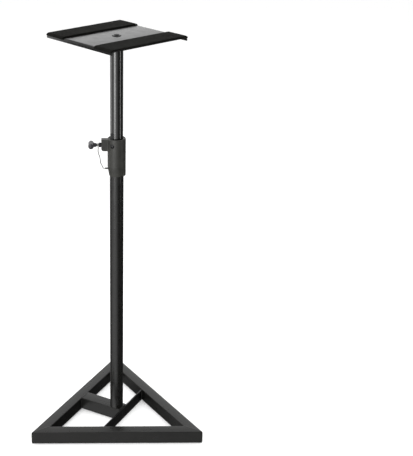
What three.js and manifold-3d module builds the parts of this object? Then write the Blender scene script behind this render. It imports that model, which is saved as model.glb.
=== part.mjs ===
// A speaker stand: a welded three-sided base, a round post, a telescoping mast held by a
// clamp knob and a height pin, and a square steel plate with two rubber strips on top.
// Millimetres, +Z up, +X to the right of someone facing the front bar of the base.
import * as THREE from 'three';
import { mergeVertices } from 'three/addons/utils/BufferGeometryUtils.js';
import Module from 'manifold-3d';

const wasm = await Module();
wasm.setup();

// Driving dimensions ---------------------------------------------------------------------
const GAP = 0.3;                     // left between two pieces that touch
const SIDES = 48;                    // facets of a round tube

const BASE_SIDE = 491;               // side of the base triangle, to its sharp corners
const TIP_CUT = 0.5;                 // taken off each sharp corner, along the side
const FRAME_WIDTH = 31;              // frame tube, standing on its narrow side
const FRAME_HEIGHT = 38;
const FRAME_WALL = 2;
const PAD_THICKNESS = 2;
const PAD_RADIUS = 13;
const PAD_INSET = 46;                // from a sharp corner to the pad's centre
const BRACE_WIDTH = 38;
const TIE_THICKNESS = 4;
const TIE_HEIGHT = 35;
const TIE_OFFSET = 20.5;             // from the post's axis to the tie bar's near face

const POST_RADIUS = 19.05;           // 1-1/2 inch tube
const POST_BORE = 17.85;
const POST_TOP = 868;
const MAST_RADIUS = 17.46;           // 1-3/8 inch tube
const MAST_BORE = 15.96;
const MAST_FOOT = 500;
const MAST_TOP = 1153;
const HOLE_PITCH = 50;               // height holes through the mast
const HOLES_ABOVE = 4;               // above the one that faces the pin
const HOLES_BELOW = 4;
const HOLE_RADIUS = 3;

const COLLAR_RADIUS = 24.8;
const COLLAR_BOTTOM = 799;           // where the straight sleeve ends and its cone starts
const COLLAR_TOP = 880;
const COLLAR_BORE = 19.4;
const CONE_RADIUS = 20.6;            // of the cone's lower end
const CONE_BOTTOM = 774;
const EAR_REACH = 41.5;              // from the post's axis to the ear's end
const EAR_HALF_WIDTH = 9;
const EAR_BOTTOM = 844.5;
const EAR_TOP = 877;
const FRONT_SCREW = { turn: -29.5, height: 862 };
const BACK_SCREW = { turn: 180, height: 812 };

const SCREW_HEIGHT = 860;
const SCREW_RADIUS = 3.9;
const SCREW_TIP = 23.1;
const KNOB_HUB = 54.5;
const KNOB_BAR_CENTRE = 69;
const KNOB_BAR_RADIUS = 8.4;
const KNOB_BAR_HALF = 21;
const PIN_HEIGHT = 793;
const PIN_RADIUS = 2.4;
const PIN_TIP = 17.8;                // drawn back: its tip is just clear of the mast
const PIN_END = 31.5;

const PLATE_TOP = 1158;
const PLATE_THICKNESS = 3;
const PLATE_ALONG = 254;             // over the two turned-down edges
const PLATE_ACROSS = 263;
const PLATE_BEND = 6;                // outer radius of the turned-down edges
const PLATE_DROP = 10;               // from the top to a turned-down edge's lip
const PLATE_TURN = 39.9;             // degrees, from +X to the way the strips run
const STRIP_WIDTH = 68;
const STRIP_THICKNESS = 4;
const STRIP_WRAP = 70;               // degrees of the bend that a strip covers

const FRAME_BOTTOM = PAD_THICKNESS + GAP;
const FRAME_TOP = FRAME_BOTTOM + FRAME_HEIGHT;
const INRADIUS = BASE_SIDE / (2 * Math.sqrt(3));

// Materials ------------------------------------------------------------------------------
function finish(color, roughness, metalness) {
  return { color, roughness, metalness };
}
const BLACK_PAINT = finish(0x191919, 0.38, 0.3);
const DARK_CHROME = finish(0x2a2a2a, 0.22, 0.6);
const CAST_BLACK = finish(0x202020, 0.5, 0.3);
const PLASTIC = finish(0x1c1c1e, 0.45, 0);
const RUBBER = finish(0x101010, 0.9, 0);
const NYLON = finish(0x0e0e0e, 0.6, 0);
const STEEL = finish(0x8d8f92, 0.35, 0.9);
const BLACK_STEEL = finish(0x151515, 0.4, 0.7);
const BRASS = finish(0xb08d4a, 0.4, 0.9);

// Solids ---------------------------------------------------------------------------------
function solid(geometry) {
  const plain = geometry.index ? geometry.toNonIndexed() : geometry.clone();
  plain.deleteAttribute('normal');
  plain.deleteAttribute('uv');
  const merged = mergeVertices(plain, 1e-4);
  return new wasm.Manifold(new wasm.Mesh({
    numProp: 3,
    vertProperties: new Float32Array(merged.attributes.position.array),
    triVerts: new Uint32Array(merged.index.array),
  }));
}

function toGeometry(manifold) {
  const mesh = manifold.getMesh();
  const geometry = new THREE.BufferGeometry();
  geometry.setAttribute('position', new THREE.BufferAttribute(mesh.vertProperties, 3));
  geometry.setIndex(new THREE.BufferAttribute(mesh.triVerts, 1));
  geometry.computeVertexNormals();
  return geometry;
}

function box(x0, x1, y0, y1, z0, z1) {
  const geometry = new THREE.BoxGeometry(x1 - x0, y1 - y0, z1 - z0);
  return solid(geometry.translate((x0 + x1) / 2, (y0 + y1) / 2, (z0 + z1) / 2));
}

// A round or faceted rod standing between two heights.
function rod(radius, z0, z1, sides = SIDES) {
  const geometry = new THREE.CylinderGeometry(radius, radius, z1 - z0, sides);
  return solid(geometry.rotateX(Math.PI / 2).translate(0, 0, (z0 + z1) / 2));
}

// The same rod lying along X at a height, between two distances to the left of the axis.
function leftRod(radius, near, far, height, sides = 24) {
  const geometry = new THREE.CylinderGeometry(radius, radius, far - near, sides);
  return solid(geometry.rotateZ(Math.PI / 2).translate(-(near + far) / 2, 0, height));
}

function tube(outer, bore, z0, z1) {
  return rod(outer, z0, z1).subtract(rod(bore, z0 - 1, z1 + 1));
}

// A solid turned about the vertical axis from [radius, height] points.
function turned(points, sides = SIDES) {
  const profile = points.map(([radius, height]) => new THREE.Vector2(radius, height));
  return solid(new THREE.LatheGeometry(profile, sides).rotateX(Math.PI / 2));
}

// A plan outline drawn in X and Y, standing between two heights.
function prism(points, z0, z1) {
  const shape = new THREE.Shape(points.map(([x, y]) => new THREE.Vector2(x, y)));
  const geometry = new THREE.ExtrudeGeometry(shape, { depth: z1 - z0, bevelEnabled: false });
  return solid(geometry.translate(0, 0, z0));
}

function piece(name, manifold, look) {
  const mesh = new THREE.Mesh(toGeometry(manifold), new THREE.MeshStandardMaterial(look));
  mesh.name = name;
  return mesh;
}

// Base -----------------------------------------------------------------------------------
// One side of the triangle, its outer face towards -Y, mitred at both ends.
function sideTube() {
  const half = BASE_SIDE / 2 - GAP;
  const mitre = FRAME_WIDTH * Math.sqrt(3);
  const right = [
    [half - TIP_CUT, 0],
    [half - TIP_CUT * 0.75, TIP_CUT * Math.sqrt(3) / 4],
    [half - mitre, FRAME_WIDTH],
  ];
  const left = right.map(([x, y]) => [-x, y]).reverse();
  const outline = [...right, ...left].map(([x, y]) => [x, y - INRADIUS]);
  const inner = box(
    -half, half,
    -INRADIUS + FRAME_WALL, -INRADIUS + FRAME_WIDTH - FRAME_WALL,
    FRAME_BOTTOM + FRAME_WALL, FRAME_TOP - FRAME_WALL,
  );
  return prism(outline, FRAME_BOTTOM, FRAME_TOP).subtract(inner);
}

// The square tube that carries the post, lying along +X from the left side to the tie bar.
function postBrace() {
  const start = -(INRADIUS - FRAME_WIDTH) + GAP;
  const end = TIE_OFFSET - GAP;
  const half = BRACE_WIDTH / 2;
  const inner = half - FRAME_WALL;
  return box(start, end, -half, half, FRAME_BOTTOM, FRAME_TOP)
    .subtract(box(start - 1, end + 1, -inner, inner,
      FRAME_BOTTOM + FRAME_WALL, FRAME_TOP - FRAME_WALL))
    .subtract(rod(5.6, FRAME_TOP - FRAME_WALL - 1, FRAME_TOP + 1, 16))
    .subtract(rod(12, FRAME_BOTTOM - 1, FRAME_BOTTOM + FRAME_WALL + 1, 24));
}

// The flat bar on edge that closes the brace's end, between the front and right sides.
function tieBar() {
  const inner = INRADIUS - FRAME_WIDTH;
  const halfAt = (offset) => (2 * inner - offset - 2 * GAP) / Math.sqrt(3);
  const near = TIE_OFFSET;
  const far = TIE_OFFSET + TIE_THICKNESS;
  const outline = [[near, -halfAt(near)], [far, -halfAt(far)], [far, halfAt(far)], [near, halfAt(near)]];
  return prism(outline, FRAME_BOTTOM, FRAME_BOTTOM + TIE_HEIGHT);
}

function footPad() {
  return turned([[0, 0], [PAD_RADIUS - 1, 0], [PAD_RADIUS, 0.8], [PAD_RADIUS, PAD_THICKNESS],
    [0, PAD_THICKNESS]], 24);
}

const BOLT_CEILING = FRAME_TOP - FRAME_WALL - GAP;
const WASHER_THICKNESS = 2;
const PLUG_BOTTOM = FRAME_TOP + GAP;

function postBolt() {
  const headTop = BOLT_CEILING - WASHER_THICKNESS - GAP;
  return rod(9.2, headTop - 6.4, headTop, 6).add(rod(4.9, headTop - 1, PLUG_BOTTOM + 20, 16));
}

function postWasher() {
  return rod(11, BOLT_CEILING - WASHER_THICKNESS, BOLT_CEILING, 24)
    .subtract(rod(5.6, 0, FRAME_TOP, 16));
}

function postPlug() {
  return rod(POST_BORE - 0.5, PLUG_BOTTOM, PLUG_BOTTOM + 25)
    .subtract(rod(5.3, PLUG_BOTTOM - 1, PLUG_BOTTOM + 26, 16));
}

// Post and collar ------------------------------------------------------------------------
function postTube() {
  return tube(POST_RADIUS, POST_BORE, PLUG_BOTTOM, POST_TOP)
    .subtract(leftRod(4.6, 10, 30, SCREW_HEIGHT, 16))
    .subtract(leftRod(HOLE_RADIUS, 10, 30, PIN_HEIGHT, 16));
}

// The ear on the left of the collar, with its two outer corners rounded.
function ear() {
  const round = 7;
  const shape = new THREE.Shape();
  shape.moveTo(0, EAR_BOTTOM);
  shape.lineTo(-EAR_REACH + round, EAR_BOTTOM);
  shape.absarc(-EAR_REACH + round, EAR_BOTTOM + round, round, -Math.PI / 2, -Math.PI, true);
  shape.lineTo(-EAR_REACH, EAR_TOP);
  shape.lineTo(0, EAR_TOP);
  const depth = 2 * EAR_HALF_WIDTH;
  const geometry = new THREE.ExtrudeGeometry(shape, { depth, bevelEnabled: false, curveSegments: 5 });
  return solid(geometry.rotateX(Math.PI / 2).translate(0, EAR_HALF_WIDTH, 0));
}

// A sleeve that ends in a cone, with the ear and with a tongue down its right side.
function collarBody() {
  const tongue = rod(COLLAR_RADIUS, CONE_BOTTOM + 1, COLLAR_BOTTOM + 1)
    .intersect(box(10, 30, -14, 14, CONE_BOTTOM, COLLAR_TOP));
  const outside = turned([[0, CONE_BOTTOM], [CONE_RADIUS, CONE_BOTTOM],
    [COLLAR_RADIUS, COLLAR_BOTTOM], [COLLAR_RADIUS, COLLAR_TOP - 3],
    [COLLAR_RADIUS - 1.6, COLLAR_TOP], [0, COLLAR_TOP]]);
  return outside.add(tongue).add(ear())
    .subtract(rod(COLLAR_BORE, CONE_BOTTOM - 1, COLLAR_TOP + 1))
    .subtract(rod(21.3, POST_TOP + GAP, COLLAR_TOP + 1))
    .subtract(leftRod(5.9, 10, 60, SCREW_HEIGHT, 16))
    .subtract(leftRod(HOLE_RADIUS, 10, 30, PIN_HEIGHT, 16))
    .subtract(sleeveScrewHole(FRONT_SCREW))
    .subtract(sleeveScrewHole(BACK_SCREW));
}

// The nylon bush between collar and mast, with a tab standing up at its front left.
function collarBush() {
  const bore = MAST_RADIUS + 0.4;
  const bottom = POST_TOP + 2 * GAP;
  const top = 895;
  const tab = prism([[0, 0], [-30, -16.6], [-19, -28.9]], bottom, top)
    .intersect(rod(20, bottom, top));
  return rod(21, bottom, COLLAR_TOP - 1.5).add(tab).subtract(rod(bore, bottom - 1, top + 1));
}

// A threaded steel insert in the ear, with a collar against the ear's end.
function earInsert() {
  return leftRod(5.6, 25.5, EAR_REACH, SCREW_HEIGHT, 16)
    .add(leftRod(6.6, EAR_REACH + GAP, EAR_REACH + 6.5, SCREW_HEIGHT, 6))
    .add(leftRod(5.6, EAR_REACH - 3, EAR_REACH + 1, SCREW_HEIGHT, 16))
    .subtract(leftRod(SCREW_RADIUS + 0.35, 20, 60, SCREW_HEIGHT, 16));
}

// A screw whose round head looks towards -Y, the head's seat in the plane y = 0.
function domedScrew(length) {
  const half = [[0, -length], [2.2, -length], [2.2, 0], [5.6, 0], [5, 1.5], [3, 2.4], [0, 2.7]];
  const profile = half.map(([radius, height]) => new THREE.Vector2(radius, height));
  return new THREE.LatheGeometry(profile, 20).rotateX(Math.PI);
}

// A screw in the sleeve's wall, turned about the post from the front.
function sleeveScrew({ turn, height }) {
  const screw = domedScrew(4.6).translate(0, -COLLAR_RADIUS - GAP, height);
  return solid(screw.rotateZ(THREE.MathUtils.degToRad(turn)));
}

function sleeveScrewHole({ turn, height }) {
  const hole = new THREE.CylinderGeometry(2.6, 2.6, 12, 12).translate(0, -COLLAR_RADIUS, height);
  return solid(hole.rotateZ(THREE.MathUtils.degToRad(turn)));
}

// Clamp knob -----------------------------------------------------------------------------
function pressurePad() {
  return leftRod(3.7, MAST_RADIUS + GAP, SCREW_TIP - GAP, SCREW_HEIGHT, 16);
}

function clampScrew() {
  return leftRod(SCREW_RADIUS, SCREW_TIP, KNOB_HUB + 8, SCREW_HEIGHT, 16);
}

// A T-shaped grip: a tapered hub along X and a bar with swelling ends along Y.
function knobGrip() {
  const hub = [[0, 0], [5.3, 0], [5.9, 5], [6.9, 14], [0, 14]];
  const hubShape = new THREE.LatheGeometry(hub.map(([r, h]) => new THREE.Vector2(r, h)), 20);
  hubShape.rotateZ(Math.PI / 2).translate(-KNOB_HUB, 0, SCREW_HEIGHT);
  const bar = [];
  const steps = 10;
  for (let i = 0; i <= steps; i += 1) {
    const along = -KNOB_BAR_HALF + (2 * KNOB_BAR_HALF * i) / steps;
    const share = along / KNOB_BAR_HALF;
    const radius = KNOB_BAR_RADIUS * Math.sqrt(Math.max(0, 1 - share ** 6)) * (0.9 + 0.1 * share ** 2);
    bar.push(new THREE.Vector2(radius, along));
  }
  const barShape = new THREE.LatheGeometry(bar, 20).translate(-KNOB_BAR_CENTRE, 0, SCREW_HEIGHT);
  const socket = leftRod(SCREW_RADIUS + GAP, 40, KNOB_HUB + 8 + GAP, SCREW_HEIGHT, 16);
  return solid(hubShape).add(solid(barShape)).subtract(socket);
}

// Height pin and its tether --------------------------------------------------------------
function heightPin() {
  return leftRod(PIN_RADIUS, PIN_TIP, PIN_END, PIN_HEIGHT, 20);
}

const TETHER_RADIUS = 1.1;
const EYELET_PLACE = 50.2;
const EYELET_BOTTOM = SCREW_HEIGHT - 13;

// The ring round the clamp screw that the tether hangs from, with its crimped barrel.
function tetherEyelet() {
  return leftRod(6.8, EYELET_PLACE - 0.8, EYELET_PLACE + 0.8, SCREW_HEIGHT, 24)
    .subtract(leftRod(4.7, EYELET_PLACE - 2, EYELET_PLACE + 2, SCREW_HEIGHT, 24))
    .add(rod(1.5, EYELET_BOTTOM, SCREW_HEIGHT - 5.5, 12).translate([-EYELET_PLACE, 0, 0]));
}

function tetherFerrule() {
  return leftRod(1.6, PIN_END + GAP, PIN_END + 3, PIN_HEIGHT, 12);
}

// The wire's route, chosen by hand: distance left of the axis, and height.
const TETHER_ROUTE = [
  [50.2, 846.7], [50.2, 845.2], [50.1, 842.0], [49.6, 838.0], [48.6, 834.0], [47.3, 830.0],
  [46.1, 826.0], [45.1, 822.0], [44.6, 818.0], [44.3, 814.0], [43.7, 810.4], [42.6, 807.0],
  [41.2, 803.8], [39.7, 800.8], [38.4, 797.9], [37.3, 795.4], [36.4, 793.8], [35.7, 793.15],
  [35.1, 793.0],
];

function tetherWire() {
  const points = TETHER_ROUTE.map(([left, height]) => new THREE.Vector3(-left, 0, height));
  const route = new THREE.CatmullRomCurve3(points);
  const section = new THREE.Shape();
  section.absarc(0, 0, TETHER_RADIUS, 0, 2 * Math.PI);
  const geometry = new THREE.ExtrudeGeometry(section, { extrudePath: route, steps: 24, curveSegments: 4 });
  return solid(geometry);
}

// Mast -----------------------------------------------------------------------------------
function mastTube() {
  let body = tube(MAST_RADIUS, MAST_BORE, MAST_FOOT, MAST_TOP);
  for (let i = -HOLES_BELOW; i <= HOLES_ABOVE; i += 1) {
    const height = PIN_HEIGHT + i * HOLE_PITCH;
    body = body.subtract(leftRod(HOLE_RADIUS, -30, 30, height, 12));
  }
  return body;
}

// A spool in the mast's foot: its waist carries the glide ring, its head keeps it on.
function mastFootPlug() {
  return turned([[0, MAST_FOOT - 17], [14, MAST_FOOT - 17], [14, MAST_FOOT - 12],
    [9, MAST_FOOT - 12], [9, MAST_FOOT - 0.5], [MAST_BORE - GAP, MAST_FOOT - 0.5],
    [MAST_BORE - GAP, MAST_FOOT + 22], [0, MAST_FOOT + 22]]);
}

function glideRing() {
  return rod(POST_BORE - 0.25, MAST_FOOT - 11.7, MAST_FOOT - 0.8)
    .subtract(rod(9.3, MAST_FOOT - 13, MAST_FOOT, 32));
}

function mastTopPlug() {
  return rod(MAST_BORE - GAP, MAST_TOP - 26, MAST_TOP - GAP)
    .subtract(rod(4.4, MAST_TOP - 30, MAST_TOP + 1, 16));
}

// The round flange under the plate, with a sleeve over the mast's end.
function plateFlange() {
  const under = PLATE_TOP - PLATE_THICKNESS - GAP;
  const sleeve = MAST_RADIUS + 3.4;
  return turned([[0, under - 34], [sleeve, under - 34], [sleeve, under - 8], [sleeve + 2, under - 5],
    [42, under - 4], [42, under], [0, under]])
    .subtract(rod(MAST_RADIUS + GAP, under - 40, MAST_TOP + GAP))
    .subtract(rod(4.8, under - 10, under + 1, 16));
}

// Half of a plate section, from the middle to the end of a turned-down edge: the points at
// one offset above the plate's top face, round the bend by an angle, then straight down.
function bentLine(offset, wrap, straight) {
  const centre = PLATE_ALONG / 2 - PLATE_BEND;
  const radius = PLATE_BEND + offset;
  const line = [];
  const steps = 6;
  for (let i = 0; i <= steps; i += 1) {
    const turn = (wrap * i) / steps;
    line.push([centre + radius * Math.sin(turn), PLATE_TOP - PLATE_BEND + radius * Math.cos(turn)]);
  }
  if (straight > 0) {
    const [x, z] = line[line.length - 1];
    line.push([x, z - straight]);
  }
  return line;
}

// A bent sheet between two offsets from the plate's top face, running across by a width.
function bentSheet(low, high, wrap, straight, y0, y1) {
  const top = bentLine(high, wrap, straight);
  const bottom = bentLine(low, wrap, straight).reverse();
  const right = [...top, ...bottom];
  const left = right.map(([x, z]) => [-x, z]).reverse();
  const middle = bottom.length;
  const outline = [...left.slice(middle), ...right.slice(0, top.length), ...right.slice(top.length),
    ...left.slice(0, middle)];
  const shape = new THREE.Shape(outline.map(([x, z]) => new THREE.Vector2(x, z)));
  const geometry = new THREE.ExtrudeGeometry(shape, { depth: y1 - y0, bevelEnabled: false });
  return solid(geometry.rotateX(Math.PI / 2).translate(0, y1, 0));
}

function topPlate() {
  const half = PLATE_ACROSS / 2;
  return bentSheet(-PLATE_THICKNESS, 0, Math.PI / 2, PLATE_DROP - PLATE_BEND, -half, half)
    .subtract(rod(4.8, PLATE_TOP - 10, PLATE_TOP + 1, 16));
}

function strip(side) {
  const edge = PLATE_ACROSS / 2 - 0.5;
  const wrap = THREE.MathUtils.degToRad(STRIP_WRAP);
  const near = side > 0 ? edge - STRIP_WIDTH : -edge;
  return bentSheet(GAP, STRIP_THICKNESS, wrap, 0, near, near + STRIP_WIDTH);
}

function plateWasher() {
  return rod(12, PLATE_TOP + GAP, PLATE_TOP + 1.6, 24).subtract(rod(4.6, PLATE_TOP, PLATE_TOP + 3, 16));
}

function plateBolt() {
  const seat = PLATE_TOP + 1.6 + GAP;
  return rod(6.6, seat, seat + 1.9, 20).add(rod(3.9, seat - 26, seat + 1, 16))
    .subtract(rod(2.6, seat + 0.6, seat + 3, 6));
}

// Assembly -------------------------------------------------------------------------------
const stand = new THREE.Group();

const sides = { front_base_tube: 0, right_base_tube: 120, left_base_tube: -120 };
for (const [name, turn] of Object.entries(sides)) {
  const side = piece(name, sideTube(), BLACK_PAINT);
  side.rotation.z = THREE.MathUtils.degToRad(turn);
  stand.add(side);
}

const braces = new THREE.Group();
braces.rotation.z = THREE.MathUtils.degToRad(-30);
braces.add(piece('post_brace', postBrace(), BLACK_PAINT));
braces.add(piece('tie_bar', tieBar(), BLACK_PAINT));
stand.add(braces);

const corners = { front_right_foot_pad: -30, back_foot_pad: 90, front_left_foot_pad: 210 };
for (const [name, azimuth] of Object.entries(corners)) {
  const pad = piece(name, footPad(), RUBBER);
  const angle = THREE.MathUtils.degToRad(azimuth);
  const reach = 2 * INRADIUS - PAD_INSET;
  pad.position.set(reach * Math.cos(angle), reach * Math.sin(angle), 0);
  stand.add(pad);
}

stand.add(piece('post_bolt', postBolt(), BLACK_STEEL));
stand.add(piece('post_bolt_washer', postWasher(), STEEL));
stand.add(piece('post_foot_plug', postPlug(), STEEL));
stand.add(piece('lower_post_tube', postTube(), BLACK_PAINT));

stand.add(piece('collar_body', collarBody(), CAST_BLACK));
stand.add(piece('collar_bush', collarBush(), NYLON));
stand.add(piece('ear_thread_insert', earInsert(), BLACK_STEEL));
stand.add(piece('collar_front_screw', sleeveScrew(FRONT_SCREW), BLACK_STEEL));
stand.add(piece('collar_back_screw', sleeveScrew(BACK_SCREW), BLACK_STEEL));
stand.add(piece('clamp_pressure_pad', pressurePad(), BRASS));
stand.add(piece('clamp_screw', clampScrew(), BLACK_STEEL));
stand.add(piece('clamp_knob_grip', knobGrip(), PLASTIC));
stand.add(piece('height_pin', heightPin(), STEEL));
stand.add(piece('tether_eyelet', tetherEyelet(), STEEL));
stand.add(piece('tether_pin_ferrule', tetherFerrule(), STEEL));
stand.add(piece('tether_wire', tetherWire(), STEEL));

const mast = new THREE.Group();
mast.add(piece('mast_tube', mastTube(), DARK_CHROME));
mast.add(piece('mast_foot_plug', mastFootPlug(), NYLON));
mast.add(piece('mast_glide_ring', glideRing(), NYLON));
mast.add(piece('mast_top_plug', mastTopPlug(), STEEL));
mast.add(piece('plate_flange', plateFlange(), BLACK_STEEL));
stand.add(mast);

const plate = new THREE.Group();
plate.rotation.z = THREE.MathUtils.degToRad(PLATE_TURN);
plate.add(piece('top_plate', topPlate(), BLACK_PAINT));
plate.add(piece('back_left_strip', strip(1), RUBBER));
plate.add(piece('front_right_strip', strip(-1), RUBBER));
plate.add(piece('plate_bolt_washer', plateWasher(), BLACK_STEEL));
plate.add(piece('plate_bolt', plateBolt(), BLACK_STEEL));
stand.add(plate);

// The origin is the middle of the floor rectangle under the whole stand.
stand.updateMatrixWorld(true);
const extent = new THREE.Box3().setFromObject(stand, true);
stand.position.set(-(extent.min.x + extent.max.x) / 2, -(extent.min.y + extent.max.y) / 2, 0);
const group = new THREE.Group();
group.add(stand);

export default group;
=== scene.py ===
"""The looks of a speaker stand: a welded three-sided base, a round post with a clamp knob and
a tethered height pin, a telescoping mast, and a steel plate with two rubber strips.

Metres, in the frame of the CAD. Places and overall sizes are read from the CAD nodes. What
the nodes don't tell, such as bores, bends and threads, is named below."""
import math

import bmesh
import bpy
from mathutils import Matrix, Vector, noise


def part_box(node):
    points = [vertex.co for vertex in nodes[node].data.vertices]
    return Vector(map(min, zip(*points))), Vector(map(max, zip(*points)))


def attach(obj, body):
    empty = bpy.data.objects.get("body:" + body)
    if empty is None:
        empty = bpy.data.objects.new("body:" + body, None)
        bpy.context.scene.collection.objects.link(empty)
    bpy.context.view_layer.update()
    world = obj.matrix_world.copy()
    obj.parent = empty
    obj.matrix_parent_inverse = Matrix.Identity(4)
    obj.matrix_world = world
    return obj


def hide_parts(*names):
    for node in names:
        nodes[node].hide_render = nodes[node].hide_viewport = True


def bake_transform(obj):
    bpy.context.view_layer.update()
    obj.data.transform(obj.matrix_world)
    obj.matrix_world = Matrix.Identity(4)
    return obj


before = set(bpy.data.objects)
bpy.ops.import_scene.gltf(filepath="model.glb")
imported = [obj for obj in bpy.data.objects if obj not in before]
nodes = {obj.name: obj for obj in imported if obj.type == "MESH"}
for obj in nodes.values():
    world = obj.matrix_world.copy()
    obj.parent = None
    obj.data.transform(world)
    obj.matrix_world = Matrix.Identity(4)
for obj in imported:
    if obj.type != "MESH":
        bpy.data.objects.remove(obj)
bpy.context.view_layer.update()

# Sizes ----------------------------------------------------------------------------------
MM = 0.001
ROUND_SIDES = 96
FRAME_TURN = math.radians(-30)          # the brace runs this way from +X
PLATE_TURN = math.radians(39.9)         # and the strips on the plate this way
BAR_CORNER = 2.6 * MM                   # outer corner radius of the frame tube
BRACE_WALL = 2 * MM
BOLT_HOLE_RADIUS = 5.6 * MM             # in the brace's upper wall, under the post
ACCESS_HOLE_RADIUS = 12 * MM            # in the brace's lower wall
POST_BORE = 17.85 * MM                  # bores are radii too
MAST_BORE = 15.96 * MM
SCREW_HOLE_RADIUS = 4.6 * MM            # in the post, for the clamp screw
HOLE_RADIUS = 3 * MM                    # in the post and the mast, for the height pin
HOLE_PITCH = 50 * MM
HOLES_EACH_WAY = 4                      # up and down from the mast's hole at the pin
THREAD_PITCH = 1.25 * MM
THREAD_DEPTH = 0.7 * MM
TETHER_DIAMETER = 2.2 * MM
PLATE_THICKNESS = 3 * MM
PLATE_BEND = 6 * MM                     # outer radius of the plate's turned-down edges
PLATE_HOLE_RADIUS = 4.8 * MM


def middle(node):
    low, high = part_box(node)
    return (low + high) / 2


AXIS = Vector((middle("mast_tube").x, middle("mast_tube").y, 0))
SCREW_HEIGHT = middle("clamp_screw").z
PIN_HEIGHT = middle("height_pin").z

# Camera ---------------------------------------------------------------------------------
lens = bpy.data.cameras.new("camera")
lens.sensor_width = 36
lens.lens = 80.65
lens.shift_x = 0.198
lens.shift_y = -0.05
camera = bpy.data.objects.new("camera", lens)
camera.location = AXIS + Vector((-0.024, -2.6127, 1.7397))
camera.rotation_euler = (math.radians(68.01), 0, math.radians(-0.5))
bpy.context.scene.collection.objects.link(camera)
bpy.context.scene.camera = camera

# Materials ------------------------------------------------------------------------------


class Shader:
    """A material's node tree, with short calls for the nodes used here."""

    def __init__(self, name):
        self.material = bpy.data.materials.new(name)
        self.material.use_nodes = True
        self.tree = self.material.node_tree
        self.surface = self.tree.nodes["Principled BSDF"]
        coordinates = self.tree.nodes.new("ShaderNodeTexCoord")
        self.place = coordinates.outputs["Object"]

    def join(self, source, target):
        self.tree.links.new(source, target)

    def noise(self, size, detail=3.0, stretch=(1, 1, 1)):
        """Noise whose features are about a size across, longer along a stretched axis."""
        mapping = self.tree.nodes.new("ShaderNodeMapping")
        mapping.inputs["Scale"].default_value = [1 / (size * s) for s in stretch]
        self.join(self.place, mapping.inputs["Vector"])
        texture = self.tree.nodes.new("ShaderNodeTexNoise")
        texture.inputs["Scale"].default_value = 1.0
        texture.inputs["Detail"].default_value = detail
        self.join(mapping.outputs["Vector"], texture.inputs["Vector"])
        return texture.outputs["Fac"]

    def ranged(self, source, low, high, from_low=0.3, from_high=0.7):
        node = self.tree.nodes.new("ShaderNodeMapRange")
        for socket, value in (("From Min", from_low), ("From Max", from_high),
                              ("To Min", low), ("To Max", high)):
            node.inputs[socket].default_value = value
        self.join(source, node.inputs["Value"])
        return node.outputs["Result"]

    def mixed(self, factor, first, second):
        """Two colours, each a value or a socket, mixed by a factor."""
        node = self.tree.nodes.new("ShaderNodeMix")
        node.data_type = "RGBA"
        self.join(factor, node.inputs["Factor"])
        for socket, value in ((node.inputs[6], first), (node.inputs[7], second)):
            if isinstance(value, bpy.types.NodeSocket):
                self.join(value, socket)
            else:
                socket.default_value = (*value, 1)
        return node.outputs[2]

    def product(self, first, second):
        node = self.tree.nodes.new("ShaderNodeMath")
        node.operation = "MULTIPLY"
        self.join(first, node.inputs[0])
        self.join(second, node.inputs[1])
        return node.outputs["Value"]

    def edges(self, radius):
        """1 along convex and concave edges, 0 on flat faces."""
        bevel = self.tree.nodes.new("ShaderNodeBevel")
        bevel.samples = 4
        bevel.inputs["Radius"].default_value = radius
        geometry = self.tree.nodes.new("ShaderNodeNewGeometry")
        likeness = self.tree.nodes.new("ShaderNodeVectorMath")
        likeness.operation = "DOT_PRODUCT"
        self.join(bevel.outputs["Normal"], likeness.inputs[0])
        self.join(geometry.outputs["True Normal"], likeness.inputs[1])
        return self.ranged(likeness.outputs["Value"], 1, 0, 0.8, 0.995)

    def relief(self, height, depth):
        bump = self.tree.nodes.new("ShaderNodeBump")
        bump.inputs["Strength"].default_value = 1.0
        bump.inputs["Distance"].default_value = depth
        self.join(height, bump.inputs["Height"])
        self.join(bump.outputs["Normal"], self.surface.inputs["Normal"])


def tinted(colour, factor):
    return tuple(channel * factor for channel in colour)


def finish(slot, colour, roughness, grain, depth, metallic=0.0, specular=0.5, patch=50 * MM,
           variation=0.2, polish=0.06, stretch=(1, 1, 1), worn=None):
    """A painted, cast, moulded or bare surface: colour that varies in patches, gloss that
    varies by the polish, a grain of some depth in relief, and edges rubbed to another colour
    where worn is given."""
    shader = Shader(slot)
    surface = shader.surface
    surface.inputs["Metallic"].default_value = metallic
    surface.inputs["Specular IOR Level"].default_value = specular
    broad = shader.noise(patch, 4)
    fine = shader.noise(grain, 3, stretch)
    base = shader.mixed(shader.ranged(broad, 0, 1), tinted(colour, 1 - variation),
                        tinted(colour, 1 + variation))
    gloss = shader.ranged(shader.noise(patch / 3, 5), roughness - polish, roughness + polish)
    if worn:
        chipped = shader.ranged(shader.noise(4 * MM, 5), 0, 0.7, 0.4, 0.62)
        base = shader.mixed(shader.product(shader.edges(0.7 * MM), chipped), base, worn)
    shader.join(base, surface.inputs["Base Color"])
    shader.join(gloss, surface.inputs["Roughness"])
    shader.relief(fine, depth)
    return shader.material


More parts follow.
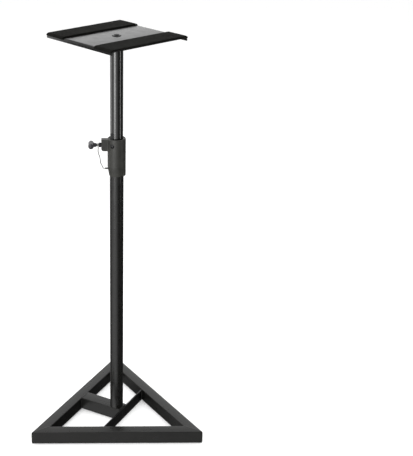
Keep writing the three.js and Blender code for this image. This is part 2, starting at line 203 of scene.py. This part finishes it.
PAINT = (0.0055, 0.0054, 0.0048)
PAINT_WORN = (0.028, 0.027, 0.026)
LOOKS = {
    "base_paint": dict(colour=PAINT, roughness=0.32, specular=0.32, grain=1.6 * MM,
                       depth=0.03 * MM, worn=PAINT_WORN),
    "post_paint": dict(colour=PAINT, roughness=0.30, grain=1.1 * MM, depth=0.014 * MM,
                       worn=PAINT_WORN),
    "mast_paint": dict(colour=(0.008, 0.008, 0.0075), roughness=0.14, specular=0.75,
                       polish=0.04, grain=2 * MM, depth=0.006 * MM, stretch=(1, 1, 20)),
    "collar_paint": dict(colour=(0.022, 0.022, 0.019), roughness=0.44, specular=0.36,
                         grain=0.8 * MM, depth=0.05 * MM, patch=20 * MM,
                         worn=(0.06, 0.06, 0.055)),
    "plate_paint": dict(colour=(0.0065, 0.0064, 0.006), roughness=0.2, specular=0.16,
                        polish=0.04, grain=1.8 * MM, depth=0.015 * MM, worn=PAINT_WORN),
    "rubber": dict(colour=(0.010, 0.010, 0.010), roughness=0.8, specular=0.25,
                   grain=0.6 * MM, depth=0.06 * MM),
    "strip_rubber": dict(colour=(0.0048, 0.0048, 0.004), roughness=0.88, specular=0.05,
                         grain=0.5 * MM, depth=0.09 * MM, patch=30 * MM, variation=0.3),
    "nylon": dict(colour=(0.006, 0.006, 0.006), roughness=0.42, grain=0.9 * MM,
                  depth=0.02 * MM),
    "knob_plastic": dict(colour=(0.022, 0.021, 0.025), roughness=0.42, grain=0.5 * MM,
                         depth=0.025 * MM, patch=10 * MM, worn=(0.06, 0.06, 0.065)),
    "black_steel": dict(colour=(0.035, 0.035, 0.036), roughness=0.36, metallic=1.0,
                        grain=0.5 * MM, depth=0.012 * MM, patch=6 * MM,
                        worn=(0.22, 0.21, 0.20)),
    "zinc_steel": dict(colour=(0.52, 0.52, 0.50), roughness=0.34, metallic=1.0,
                       grain=0.7 * MM, depth=0.012 * MM, patch=6 * MM),
    "pin_steel": dict(colour=(0.16, 0.16, 0.15), roughness=0.33, metallic=1.0,
                      grain=0.4 * MM, depth=0.01 * MM, patch=6 * MM),
    "wire_steel": dict(colour=(0.12, 0.12, 0.11), roughness=0.4, metallic=1.0,
                       grain=0.3 * MM, depth=0.01 * MM, patch=4 * MM),
    "brass": dict(colour=(0.60, 0.42, 0.16), roughness=0.32, metallic=1.0,
                  grain=0.6 * MM, depth=0.01 * MM, patch=6 * MM),
}
FINISHES = {slot: finish(slot, **look) for slot, look in LOOKS.items()}

# Shapes ---------------------------------------------------------------------------------


def facing(direction, place):
    """The matrix that turns local +Z to a direction and moves the origin to a place."""
    turn = Vector(direction).to_track_quat("Z", "Y").to_matrix().to_4x4()
    return Matrix.Translation(place) @ turn


def local_box(node, space):
    """The lowest and highest corner of a CAD node in a turned space."""
    back = space.inverted()
    points = [back @ vertex.co for vertex in nodes[node].data.vertices]
    low = Vector([min(p[i] for p in points) for i in range(3)])
    high = Vector([max(p[i] for p in points) for i in range(3)])
    return low, high


def rounded(points, radius, steps=4, closed=True):
    """An outline or a profile with its corners rounded; an open one keeps its two ends."""
    result = []
    for i, point in enumerate(points):
        corner = Vector(point)
        if not closed and i in (0, len(points) - 1):
            result.append(corner)
            continue
        back = Vector(points[i - 1]) - corner
        ahead = Vector(points[(i + 1) % len(points)]) - corner
        reach = min(radius, back.length * 0.45, ahead.length * 0.45)
        start = corner + back.normalized() * reach
        end = corner + ahead.normalized() * reach
        for step in range(steps + 1):
            t = step / steps
            result.append(start.lerp(corner, t).lerp(corner.lerp(end, t), t))
    return result


def rectangle(u0, u1, v0, v1):
    return [(u0, v0), (u1, v0), (u1, v1), (u0, v1)]


def loft(loops, ring=False):
    """A closed mesh through loops of equally many points. A ring joins its last loop to its
    first, and any other body gets a cap at each end."""
    count = len(loops[0])
    faces = []
    for i in range(len(loops) if ring else len(loops) - 1):
        a, b = i * count, (i + 1) % len(loops) * count
        for j in range(count):
            k = (j + 1) % count
            faces.append((a + j, a + k, b + k, b + j))
    if not ring:
        faces.append(tuple(reversed(range(count))))
        faces.append(tuple(range((len(loops) - 1) * count, len(loops) * count)))
    mesh = bpy.data.meshes.new("loft")
    mesh.from_pydata([tuple(p) for loop in loops for p in loop], [], faces)
    work = bmesh.new()
    work.from_mesh(mesh)
    bmesh.ops.recalc_face_normals(work, faces=work.faces)
    work.to_mesh(mesh)
    work.free()
    return mesh


def turned(profile, space=Matrix(), sides=ROUND_SIDES, ring=False):
    """A body turned about local Z from (radius, height) points."""
    loops = []
    for radius, height in profile:
        loop = []
        for j in range(sides):
            angle = 2 * math.pi * j / sides
            loop.append(Vector((radius * math.cos(angle), radius * math.sin(angle), height)))
        loops.append(loop)
    mesh = loft(loops, ring)
    mesh.transform(space)
    return mesh


def prism(outline, z0, z1, space=Matrix()):
    mesh = loft([[Vector((x, y, z)) for x, y in outline] for z in (z0, z1)])
    mesh.transform(space)
    return mesh


def merged(meshes):
    work = bmesh.new()
    for mesh in meshes:
        work.from_mesh(mesh)
        bpy.data.meshes.remove(mesh)
    whole = bpy.data.meshes.new("merged")
    work.to_mesh(whole)
    work.free()
    return whole


def evaluated(mesh, *modifiers):
    """The mesh after modifiers, each a type and its settings."""
    piece = bpy.data.objects.new("work", mesh)
    bpy.context.scene.collection.objects.link(piece)
    for kind, settings in modifiers:
        modifier = piece.modifiers.new(kind, kind)
        for name, value in settings.items():
            setattr(modifier, name, value)
    depsgraph = bpy.context.evaluated_depsgraph_get()
    result = bpy.data.meshes.new_from_object(piece.evaluated_get(depsgraph))
    bpy.data.objects.remove(piece)
    return result


def cut(mesh, cutter):
    """The mesh without what the cutter mesh fills."""
    tool = bpy.data.objects.new("cutter", cutter)
    bpy.context.scene.collection.objects.link(tool)
    result = evaluated(mesh, ("BOOLEAN", {"operation": "DIFFERENCE", "object": tool,
                                          "solver": "EXACT"}))
    bpy.data.objects.remove(tool)
    return result


def cast(node, voxel, smoothing):
    """A CAD node's shape with every edge run out into a small fillet, as cast or moulded."""
    return evaluated(
        nodes[node].data.copy(),
        ("WELD", {"merge_threshold": 0.01 * MM}),
        ("REMESH", {"mode": "VOXEL", "voxel_size": voxel}),
        ("SMOOTH", {"factor": 0.5, "iterations": smoothing}),
    )


def piece(name, mesh, slot, body, stands_for=(), sharp=35):
    """A finished piece that rides on a body and stands for CAD nodes."""
    mesh.materials.clear()
    mesh.materials.append(FINISHES[slot])
    for polygon in mesh.polygons:
        polygon.use_smooth = True
        polygon.material_index = 0
    mesh.set_sharp_from_angle(angle=math.radians(sharp))
    made = bpy.data.objects.new(name, mesh)
    bpy.context.scene.collection.objects.link(made)
    if body:
        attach(made, body)
    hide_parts(*stands_for)
    return made


def dressed(node, slot, bevel=0.25 * MM):
    """A CAD node kept as it is, with its material and its edges broken."""
    target = nodes[node]
    for i in range(len(target.material_slots)):
        target.material_slots[i].material = FINISHES[slot]
    weld = target.modifiers.new("weld", "WELD")
    weld.merge_threshold = 0.01 * MM
    edge = target.modifiers.new("edges", "BEVEL")
    edge.width = bevel
    edge.segments = 2
    edge.limit_method = "ANGLE"
    edge.angle_limit = math.radians(40)


# Tether ---------------------------------------------------------------------------------
# The wire's route: distance left of the post's axis, and height.
TETHER_ROUTE = [
    (0.0502, 0.8467), (0.0502, 0.8452), (0.0501, 0.8420), (0.0496, 0.8380), (0.0486, 0.8340),
    (0.0473, 0.8300), (0.0461, 0.8260), (0.0451, 0.8220), (0.0446, 0.8180), (0.0443, 0.8140),
    (0.0437, 0.8104), (0.0426, 0.8070), (0.0412, 0.8038), (0.0397, 0.8008), (0.0384, 0.7979),
    (0.0373, 0.7954), (0.0364, 0.7938), (0.0357, 0.79315), (0.0351, 0.7930),
]
TETHER_STRANDS = 6
TETHER_TWIST = 7 * MM                   # length of one turn of the strands


def smooth_route(points, steps):
    """Points along a Catmull-Rom curve through the given ones."""
    ends = [points[0] * 2 - points[1], *points, points[-1] * 2 - points[-2]]
    result = []
    for a, b, c, d in zip(ends, ends[1:], ends[2:], ends[3:]):
        for i in range(steps):
            t = i / steps
            result.append((b * 2 + (c - a) * t + (a * 2 - b * 5 + c * 4 - d) * t**2
                           + (b * 3 - a - c * 3 + d) * t**3) / 2)
    return [*result, points[-1]]


def tether():
    """A stranded wire rope: strands wound round a core, as thick together as the tether."""
    points = [Vector((AXIS.x - left, AXIS.y, height)) for left, height in TETHER_ROUTE]
    route = smooth_route(points, 6)
    across = Vector((0, 1, 0))
    strand = TETHER_DIAMETER / 6        # a strand's radius
    wound = TETHER_DIAMETER / 2 - strand  # the core's, and that of the circle they run in
    meshes = []
    for k in range(TETHER_STRANDS + 1):
        loops, along = [], 0.0
        for i, place in enumerate(route):
            before, after = route[max(i - 1, 0)], route[min(i + 1, len(route) - 1)]
            along += (place - route[max(i - 1, 0)]).length
            out = (after - before).normalized().cross(across)
            if k < TETHER_STRANDS:
                angle = 2 * math.pi * (k / TETHER_STRANDS + along / TETHER_TWIST)
                place = place + (out * math.cos(angle) + across * math.sin(angle)) * wound
            radius = strand if k < TETHER_STRANDS else wound
            loops.append([place + (out * math.cos(t) + across * math.sin(t)) * radius
                          for t in (j * math.pi / 4 for j in range(8))])
        meshes.append(loft(loops))
    wire = piece("tether_cable", merged(meshes), "wire_steel", None, ["tether_wire"])
    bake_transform(wire)
    tether_eye()
    tether_crimp()


def tether_eye():
    """The ring round the clamp screw, with its barrel."""
    return piece("tether_eye", cast("tether_eyelet", 0.22 * MM, 3), "zinc_steel", "base",
                 ["tether_eyelet"])


def tether_crimp():
    """The ferrule that joins the wire to the pin, squeezed flat in three places."""
    low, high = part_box("tether_pin_ferrule")
    length, radius = high.x - low.x, (high.z - low.z) / 2
    dents, dent_share, steps = 3, 0.16, 24
    core, rim = 0.5 * MM, radius * 0.9
    profile = [(core, 0), (rim, 0)]
    for i in range(1, steps):
        dent = dent_share * max(0, math.sin(2 * dents * math.pi * i / steps))
        profile.append((radius * (1 - dent), length * i / steps))
    profile += [(rim, length), (core, length)]
    space = facing((1, 0, 0), (low.x, AXIS.y, (low.z + high.z) / 2))
    return piece("tether_crimp", turned(profile, space, 24), "zinc_steel", "height_pin",
                 ["tether_pin_ferrule"])


tether()

# Base -----------------------------------------------------------------------------------
bar_low, bar_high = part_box("front_base_tube")
BAR_WIDTH = bar_high.y - bar_low.y
BAR_BOTTOM, BAR_TOP = bar_low.z, bar_high.z
INRADIUS = AXIS.y - bar_low.y
TIP = bar_high.x
ROOT_3 = math.sqrt(3)
BRACE_SPACE = Matrix.Translation(AXIS) @ Matrix.Rotation(FRAME_TURN, 4, "Z")
SIDES = {"front_base_tube": 0, "right_base_tube": 120, "left_base_tube": -120}


def side_space(degrees):
    return Matrix.Translation(AXIS) @ Matrix.Rotation(math.radians(degrees), 4, "Z")


def base_bar(node, degrees):
    """One side of the base, a rectangular tube with round corners, mitred at both ends."""
    section = rounded(rectangle(0, BAR_WIDTH, BAR_BOTTOM, BAR_TOP), BAR_CORNER, 5)
    loops = []
    for side in (-1, 1):
        loops.append([Vector((side * min(TIP, (INRADIUS - depth) * ROOT_3), depth - INRADIUS,
                              height)) for depth, height in section])
    mesh = loft(loops)
    mesh.transform(side_space(degrees))
    piece(node.replace("tube", "bar"), mesh, "base_paint", "base", [node])


def tie_bar():
    """The flat bar on edge, cut at both ends to meet the front and right bars."""
    low, high = local_box("tie_bar", BRACE_SPACE)
    section = rounded(rectangle(low.x, high.x, low.z, high.z), 0.8 * MM, 3)
    loops = []
    for side in (-1, 1):
        loops.append([Vector((x, side * (2 * (INRADIUS - BAR_WIDTH) - x) / ROOT_3, z))
                      for x, z in section])
    mesh = loft(loops)
    mesh.transform(BRACE_SPACE)
    piece("tie_bar_edge_on", mesh, "base_paint", "base", ["tie_bar"])


def brace():
    """The tube under the post, open inside, with the post bolt's hole and its access hole."""
    low, high = local_box("post_brace", BRACE_SPACE)
    wall = BRACE_WALL
    lengthwise = BRACE_SPACE @ Matrix(((0, 0, 1, 0), (1, 0, 0, 0), (0, 1, 0, 0), (0, 0, 0, 1)))
    outside = rounded(rectangle(low.y, high.y, low.z, high.z), BAR_CORNER, 5)
    inside = rounded(rectangle(low.y + wall, high.y - wall, low.z + wall, high.z - wall),
                     BAR_CORNER - wall / 2, 3)
    body = prism(outside, low.x, high.x, lengthwise)
    tools = [prism(inside, low.x - wall, high.x + wall, lengthwise)]
    at_axis = Matrix.Translation(AXIS)
    for radius, z0, z1 in ((BOLT_HOLE_RADIUS, high.z - 2 * wall, high.z + wall),
                           (ACCESS_HOLE_RADIUS, low.z - wall, low.z + 2 * wall)):
        tools.append(turned([(radius, z0), (radius, z1)], at_axis, 48))
    for tool in tools:
        body = cut(body, tool)
    piece("post_carrying_brace", body, "base_paint", "base", ["post_brace"])


def bead(start, end, radius, flat):
    """A run of weld between two points, rippled and thin at its ends. Flat is the share of
    its height that grinding left."""
    way = end - start
    steps = max(8, int(way.length / (0.8 * MM)))
    side = way.orthogonal().normalized()
    other = way.normalized().cross(side)
    loops = []
    for i in range(steps + 1):
        share = i / steps
        place = start + way * share
        ripple = 1 + 0.10 * math.sin(share * way.length / (0.42 * MM))
        uneven = 1 + 0.25 * noise.noise(place * 90)
        size = radius * ripple * uneven * min(1, 0.35 + 6 * min(share, 1 - share))
        loop = []
        for j in range(10):
            angle = j * math.pi / 5
            offset = (side * math.cos(angle) + other * math.sin(angle)) * size
            offset.z *= flat
            loop.append(place + offset)
        loops.append(loop)
    return loft(loops)


def base_welds():
    """Beads inside and outside the three mitres and round the brace and the tie bar."""
    up = Vector((0, 0, 1))
    meshes = []

    def weld(space, start, end, radius, flat=1):
        mesh = bead(start, end, radius, flat)
        mesh.transform(space)
        meshes.append(mesh)

    for degrees in SIDES.values():
        space = side_space(degrees)
        inner = Vector(((INRADIUS - BAR_WIDTH) * ROOT_3, BAR_WIDTH - INRADIUS, 0))
        tip = Vector((TIP, 0.35 * MM - INRADIUS, 0))
        for corner, radius in ((inner, 1.6 * MM), (tip, 0.8 * MM)):
            weld(space, corner + up * (BAR_BOTTOM + BAR_CORNER),
                 corner + up * (BAR_TOP - BAR_CORNER), radius)
        for height in (BAR_BOTTOM, BAR_TOP):
            weld(space, tip.lerp(inner, 0.03) + up * height,
                 tip.lerp(inner, 0.97) + up * height, 2.2 * MM, 0.12)
    low, high = local_box("post_brace", BRACE_SPACE)
    for x in (low.x, high.x):
        for y in (low.y, high.y):
            weld(BRACE_SPACE, Vector((x, y, low.z + BAR_CORNER)),
                 Vector((x, y, high.z - BAR_CORNER)), 2 * MM)
        for z in (low.z, high.z):
            weld(BRACE_SPACE, Vector((x, low.y + BAR_CORNER, z)),
                 Vector((x, high.y - BAR_CORNER, z)), 1.5 * MM, 0.45)
    low, high = local_box("tie_bar", BRACE_SPACE)
    for side in (-1, 1):
        for x in (low.x, high.x):
            y = side * (2 * (INRADIUS - BAR_WIDTH) - x) / ROOT_3
            weld(BRACE_SPACE, Vector((x, y, low.z)), Vector((x, y, high.z)), 1.7 * MM)
    piece("base_welds", merged(meshes), "base_paint", "base", sharp=60)


def foot_pad(node):
    """A rubber pad with a rounded rim and two grooves in its sole."""
    low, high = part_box(node)
    radius, top = (high.x - low.x) / 2, high.z
    centre, groove, depth = 0.8 * MM, 0.8 * MM, 0.6 * MM
    sole = [(centre, 0)]
    for share in (0.35, 0.68):
        ring = radius * share
        sole += [(ring - groove, 0), (ring - groove / 2, depth), (ring + groove / 2, depth),
                 (ring + groove, 0)]
    profile = rounded([*sole, (radius, 0), (radius, top), (centre, top)], 0.6 * MM, 3, False)
    space = Matrix.Translation(((low.x + high.x) / 2, (low.y + high.y) / 2, 0))
    piece(node.replace("_foot_pad", "_rubber_foot"), turned(profile, space, 64), "rubber",
          "base", [node])


for name, degrees in SIDES.items():
    base_bar(name, degrees)
tie_bar()
brace()
base_welds()
for name in ("front_left_foot_pad", "front_right_foot_pad", "back_foot_pad"):
    foot_pad(name)
dressed("post_bolt", "black_steel")
dressed("post_bolt_washer", "zinc_steel")
dressed("post_foot_plug", "zinc_steel")

# Post and mast --------------------------------------------------------------------------


def round_tube(name, node, slot, body, bore, holes, through):
    """A tube with rolled rims. Its holes are (radius, height) pairs, through the left wall
    or, where through is set, through both."""
    low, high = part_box(node)
    radius = (high.x - low.x) / 2
    heights = [low.z + (high.z - low.z) * i / 24 for i in range(1, 24)]
    corners = rounded(rectangle(bore, radius, low.z, high.z), 0.5 * MM, 3)
    outside = [p for p in corners if p.x > (bore + radius) / 2]
    inside = [p for p in corners if p.x <= (bore + radius) / 2]
    lower = [p for p in outside if p.y < middle(node).z]
    upper = [p for p in outside if p.y >= middle(node).z]
    profile = [*lower, *[Vector((radius, z)) for z in heights], *upper, *inside]
    mesh = turned(profile, Matrix.Translation(AXIS), ring=True)
    far = radius * 2 if through else 0
    tools = []
    for hole, height in holes:
        space = facing((1, 0, 0), AXIS + Vector((-radius * 2, 0, height)))
        tools.append(turned([(hole, 0), (hole, radius * 2 + far)], space, 32))
    return piece(name, cut(mesh, merged(tools)), slot, body, [node])


round_tube("lower_post", "lower_post_tube", "post_paint", "base", POST_BORE,
           [(SCREW_HOLE_RADIUS, SCREW_HEIGHT), (HOLE_RADIUS, PIN_HEIGHT)], False)
round_tube("mast", "mast_tube", "mast_paint", "mast", MAST_BORE,
           [(HOLE_RADIUS, PIN_HEIGHT + i * HOLE_PITCH)
            for i in range(-HOLES_EACH_WAY, HOLES_EACH_WAY + 1)], True)
dressed("mast_foot_plug", "nylon")
dressed("mast_glide_ring", "nylon")
dressed("mast_top_plug", "zinc_steel")

# Collar ---------------------------------------------------------------------------------


def hex_recess(across, depth, space):
    """A tool that cuts a hexagon socket, open at local z = 0 and going down."""
    radius = across / ROOT_3
    outline = [(radius * math.cos(i * math.pi / 3), radius * math.sin(i * math.pi / 3))
               for i in range(6)]
    return prism(outline, -depth, 2 * MM, space)


def sleeve_screw(name, node):
    """A domed screw with a hexagon socket, standing out from the post's axis."""
    places = [vertex.co for vertex in nodes[node].data.vertices]
    height = middle(node).z
    way = sum(places, Vector()) / len(places) - AXIS
    way.z = 0
    way.normalize()
    reaches = [way.dot(place - AXIS) for place in places]
    crown, length = max(reaches), max(reaches) - min(reaches)
    centre, shank, rim, seat = 0.6 * MM, 2.2 * MM, 5.6 * MM, 2.7 * MM
    dome = [(centre, 0), (shank, -0.1 * MM), (3.8 * MM, -0.8 * MM), (5.0 * MM, -1.8 * MM),
            (rim, -2.4 * MM)]
    profile = [*dome, (rim, -seat), (shank, -seat), (shank, -length), (centre, -length)]
    space = facing(way, AXIS + way * crown + Vector((0, 0, height)))
    body = turned(rounded(profile, 0.25 * MM, 2, False), space, 48)
    piece(name, cut(body, hex_recess(3 * MM, 1.4 * MM, space)), "black_steel", "base", [node])


piece("cast_collar", cast("collar_body", 0.62 * MM, 3), "collar_paint", "base", ["collar_body"])
piece("collar_liner", cast("collar_bush", 0.4 * MM, 2), "nylon", "base", ["collar_bush"])
piece("ear_insert", cast("ear_thread_insert", 0.3 * MM, 2), "black_steel", "base",
      ["ear_thread_insert"])
sleeve_screw("front_sleeve_screw", "collar_front_screw")
sleeve_screw("back_sleeve_screw", "collar_back_screw")

# Clamp knob and height pin --------------------------------------------------------------


def clamp_screw():
    """The knob's screw, with its thread cut in relief."""
    low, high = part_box("clamp_screw")
    radius, length = (high.z - low.z) / 2, high.x - low.x
    sides = 32
    rows = int(length / THREAD_PITCH * 8)
    loops = []
    for i in range(rows + 1):
        along = length * i / rows
        end = min(1, min(along, length - along) / THREAD_PITCH)
        loop = []
        for j in range(sides):
            angle = 2 * math.pi * j / sides
            crest = abs(2 * ((along / THREAD_PITCH + j / sides) % 1) - 1)
            size = radius - THREAD_DEPTH * (1 - end * min(1, 1.25 * crest))
            loop.append(Vector((size * math.cos(angle), size * math.sin(angle), along)))
        loops.append(loop)
    mesh = loft(loops)
    mesh.transform(facing((1, 0, 0), (low.x, AXIS.y, SCREW_HEIGHT)))
    piece("clamp_thread", mesh, "black_steel", "clamp_knob", ["clamp_screw"])


def height_pin():
    """The pin that the mast's holes take, with a grooved end."""
    low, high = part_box("height_pin")
    length, radius = high.x - low.x, (high.z - low.z) / 2
    centre, spacing, groove = 0.8 * MM, 0.9 * MM, 0.25 * MM
    profile = [(centre, 0), (radius - 0.3 * MM, 0), (radius, 0.4 * MM)]
    for i in range(3):
        start = spacing * (i + 1)
        profile += [(radius, start), (radius - groove, start + groove),
                    (radius, start + 2 * groove)]
    profile += [(radius, length - 1.4 * MM), (radius - 0.9 * MM, length), (centre, length)]
    space = facing((1, 0, 0), (low.x, AXIS.y, PIN_HEIGHT))
    piece("locking_pin", turned(profile, space, 40), "pin_steel", "height_pin", ["height_pin"])


clamp_screw()
piece("clamp_knob_moulding", cast("clamp_knob_grip", 0.4 * MM, 4), "knob_plastic", "clamp_knob",
      ["clamp_knob_grip"], sharp=60)
dressed("clamp_pressure_pad", "brass")
height_pin()

# Top plate ------------------------------------------------------------------------------
PLATE_SPACE = Matrix.Translation(AXIS) @ Matrix.Rotation(PLATE_TURN, 4, "Z")
plate_low, plate_high = local_box("top_plate", PLATE_SPACE)
PLATE_TOP = plate_high.z


def over_the_plate(turn, straight):
    """A line over the plate from one turned-down edge to the other, as (place, normal)
    pairs in the plate's XZ plane: round each bend by an angle, then straight on for a
    length."""
    centre = plate_high.x - PLATE_BEND
    flat_steps, bend_steps = 16, 14
    line = [(Vector((centre * i / flat_steps, PLATE_TOP)), Vector((0, 1)))
            for i in range(flat_steps)]
    for i in range(bend_steps + 1):
        angle = turn * i / bend_steps
        normal = Vector((math.sin(angle), math.cos(angle)))
        line.append((Vector((centre, PLATE_TOP - PLATE_BEND)) + normal * PLATE_BEND, normal))
    if straight:
        place, normal = line[-1]
        line.append((place + Vector((normal.y, -normal.x)) * straight, normal))
    mirrored = [(Vector((-p.x, p.y)), Vector((-n.x, n.y))) for p, n in reversed(line[1:])]
    return mirrored + line


def laid_over(line, section, rim, lumps=0.0):
    """A sheet along a line over the plate, from a section of (across, height) points. Its
    two ends are rounded over by the rim, and a soft one gets lumps."""
    tips = []
    for (place, normal), beyond in ((line[0], line[1][0]), (line[-1], line[-2][0])):
        inward = (beyond - place).normalized()
        tips.append([(place + inward * rim * (1 - math.cos(t)), normal, rim * (1 - math.sin(t)))
                     for t in (i * math.pi / 8 for i in range(5))])
    stops = tips[0] + [(p, n, 0) for p, n in line[1:-1]] + tips[1][::-1]
    middle_across = sum(across for across, _ in section) / len(section)
    middle_height = (min(h for _, h in section) + max(h for _, h in section)) / 2
    loops = []
    for place, normal, inset in stops:
        loop = []
        for across, height in section:
            across -= math.copysign(inset, across - middle_across)
            height -= math.copysign(min(inset, abs(height - middle_height)),
                                    height - middle_height)
            if height > middle_height and lumps:
                height += lumps * noise.noise(Vector((place.x * 30, across * 30, 1)))
            spot = place + normal * height
            loop.append(Vector((spot.x, across, spot.y)))
        loops.append(loop)
    mesh = loft(loops)
    mesh.transform(PLATE_SPACE)
    return mesh


def top_plate():
    """The steel plate with its two turned-down edges and the hole for its bolt."""
    lip = plate_high.z - plate_low.z - PLATE_BEND
    rim = 0.9 * MM
    section = rounded(rectangle(plate_low.y, plate_high.y, -PLATE_THICKNESS, 0), rim, 4)
    mesh = laid_over(over_the_plate(math.pi / 2, lip), section, rim)
    hole = turned([(PLATE_HOLE_RADIUS, PLATE_TOP - 10 * MM),
                   (PLATE_HOLE_RADIUS, PLATE_TOP + 10 * MM)], Matrix.Translation(AXIS), 32)
    piece("bent_top_plate", cut(mesh, hole), "plate_paint", "mast", ["top_plate"])


def strip(node):
    """A rubber strip glued over the plate and round both bends, a little crowned."""
    low, high = local_box(node, PLATE_SPACE)
    bottom, top, edge = 0.15 * MM, 4 * MM, 1.3 * MM
    columns = 22
    outline = rounded(rectangle(low.y, high.y, bottom, top), edge, 4)
    side_count = 5
    section = outline[:3 * side_count]
    for i in range(1, columns):
        share = i / columns
        across = high.y - edge - (high.y - low.y - 2 * edge) * share
        section.append(Vector((across, top)))
    section += outline[3 * side_count:]
    crown = [(p.x, p.y - 0.35 * MM * (abs(2 * (p.x - low.y) / (high.y - low.y) - 1) ** 4)
              * (p.y > (bottom + top) / 2)) for p in section]
    mesh = laid_over(over_the_plate(math.radians(70), 0), crown, edge, 0.18 * MM)
    made = piece(node.replace("strip", "rubber_strip"), mesh, "strip_rubber", "mast", [node],
                 sharp=50)


def flange():
    """The turned flange under the plate, with the bead that joins its sleeve."""
    low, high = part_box("plate_flange")
    bore, sleeve, edge = 17.76 * MM, 20.86 * MM, (high.x - low.x) / 2
    profile = rounded([(bore, low.z), (sleeve, low.z), (sleeve, high.z - 8 * MM),
                       (sleeve + 2 * MM, high.z - 5 * MM), (edge, high.z - 4 * MM),
                       (edge, high.z), (bore, high.z)], 0.7 * MM, 4)
    piece("plate_socket_flange", turned(profile, Matrix.Translation(AXIS), ring=True),
          "base_paint", "mast", ["plate_flange"])


def plate_bolt():
    """A low-headed socket bolt on its washer."""
    low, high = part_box("plate_bolt")
    washer_low, washer_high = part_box("plate_bolt_washer")
    centre, shank, head = 0.6 * MM, 3.9 * MM, 6.6 * MM
    seat = washer_high.z + 0.3 * MM
    profile = [(centre, high.z), (head - 1.2 * MM, high.z), (head, high.z - 0.7 * MM),
               (head, seat), (shank, seat), (shank, low.z), (centre, low.z)]
    space = Matrix.Translation(AXIS)
    body = turned(rounded(profile, 0.3 * MM, 3, False), space, 64)
    socket = hex_recess(4 * MM, 1.3 * MM, Matrix.Translation(AXIS + Vector((0, 0, high.z))))
    piece("plate_socket_bolt", cut(body, socket), "black_steel", "mast", ["plate_bolt"])
    radius = (washer_high.x - washer_low.x) / 2
    ring = rounded(rectangle(4.6 * MM, radius, washer_low.z, washer_high.z), 0.35 * MM, 4)
    piece("plate_washer", turned(ring, space, ring=True), "black_steel", "mast",
          ["plate_bolt_washer"])


top_plate()
strip("back_left_strip")
strip("front_right_strip")
flange()
plate_bolt()

# Studio ---------------------------------------------------------------------------------


def studio_floor():
    """White paper under the stand, out to the horizon."""
    shader = Shader("floor_paper")
    surface = shader.surface
    surface.inputs["Roughness"].default_value = 0.9
    surface.inputs["Specular IOR Level"].default_value = 0.1
    tone = shader.mixed(shader.noise(0.4, 2), (0.86, 0.86, 0.86), (0.88, 0.88, 0.88))
    shader.join(tone, surface.inputs["Base Color"])
    surface.inputs["Emission Color"].default_value = (1, 1, 1, 1)
    surface.inputs["Emission Strength"].default_value = 0.23
    reach = 40
    mesh = bpy.data.meshes.new("floor")
    mesh.from_pydata([(-reach, -reach, 0), (reach, -reach, 0), (reach, reach, 0),
                      (-reach, reach, 0)], [], [(0, 1, 2, 3)])
    mesh.materials.append(shader.material)
    floor = bpy.data.objects.new("floor", mesh)
    bpy.context.scene.collection.objects.link(floor)
    floor.visible_glossy = False        # the paint mirrors the darker room, not the paper


def softbox(name, azimuth, elevation, distance, width, height, power):
    """A soft light aimed at the stand's middle, from an azimuth counted from the camera's
    side, positive to the right."""
    data = bpy.data.lights.new(name, "AREA")
    data.shape = "RECTANGLE"
    data.size, data.size_y = width, height
    data.energy = power
    light = bpy.data.objects.new(name, data)
    a, e = math.radians(azimuth), math.radians(elevation)
    aim = AXIS + Vector((0, 0, 0.6))
    way = Vector((math.sin(a) * math.cos(e), -math.cos(a) * math.cos(e), math.sin(e)))
    light.location = aim + way * distance
    light.rotation_euler = (-way).to_track_quat("-Z", "Y").to_euler()
    bpy.context.scene.collection.objects.link(light)


# Each glow's direction, the cosines where it starts and where it is full, and its strength
# outside and inside them: behind and above, low at the front left, and behind at eye level.
ROOM_GLOWS = (
    ((-0.2, 0.55, 0.8), -0.1, 0.6, 0.05, 1.05),
    ((-0.55, -0.7, -0.4), 0.45, 0.95, 0, 1.2),
    ((0, 0.975, 0.22), 0.88, 0.99, 0, 0.45),
)


def surroundings():
    """A room that is pale behind and above, lit from low at the front left, dark elsewhere."""
    world = bpy.data.worlds.new("studio")
    bpy.context.scene.world = world
    world.use_nodes = True
    tree = world.node_tree
    coordinates = tree.nodes.new("ShaderNodeTexCoord")
    strength = None
    for way, start, end, dark, bright in ROOM_GLOWS:
        lean = tree.nodes.new("ShaderNodeVectorMath")
        lean.operation = "DOT_PRODUCT"
        lean.inputs[1].default_value = way
        tree.links.new(coordinates.outputs["Generated"], lean.inputs[0])
        ramp = tree.nodes.new("ShaderNodeMapRange")
        ramp.interpolation_type = "SMOOTHSTEP"
        for socket, value in (("From Min", start), ("From Max", end), ("To Min", dark),
                              ("To Max", bright)):
            ramp.inputs[socket].default_value = value
        tree.links.new(lean.outputs["Value"], ramp.inputs["Value"])
        if strength is None:
            strength = ramp.outputs["Result"]
            continue
        both = tree.nodes.new("ShaderNodeMath")
        both.operation = "ADD"
        tree.links.new(strength, both.inputs[0])
        tree.links.new(ramp.outputs["Result"], both.inputs[1])
        strength = both.outputs["Value"]
    background = tree.nodes["Background"]
    background.inputs["Color"].default_value = (1, 1, 1, 1)
    tree.links.new(strength, background.inputs["Strength"])


studio_floor()
surroundings()
softbox("key_light", azimuth=-32, elevation=12, distance=2.6, width=0.9, height=2.4, power=45)
softbox("right_strip_light", azimuth=68, elevation=10, distance=2.4, width=0.25, height=2.2,
        power=9)
softbox("left_rim_light", azimuth=-112, elevation=10, distance=2.4, width=0.5, height=2.2,
        power=12)
softbox("overhead_light", azimuth=0, elevation=90, distance=2.4, width=3, height=3, power=45)
bpy.context.scene.view_settings.view_transform = "Standard"
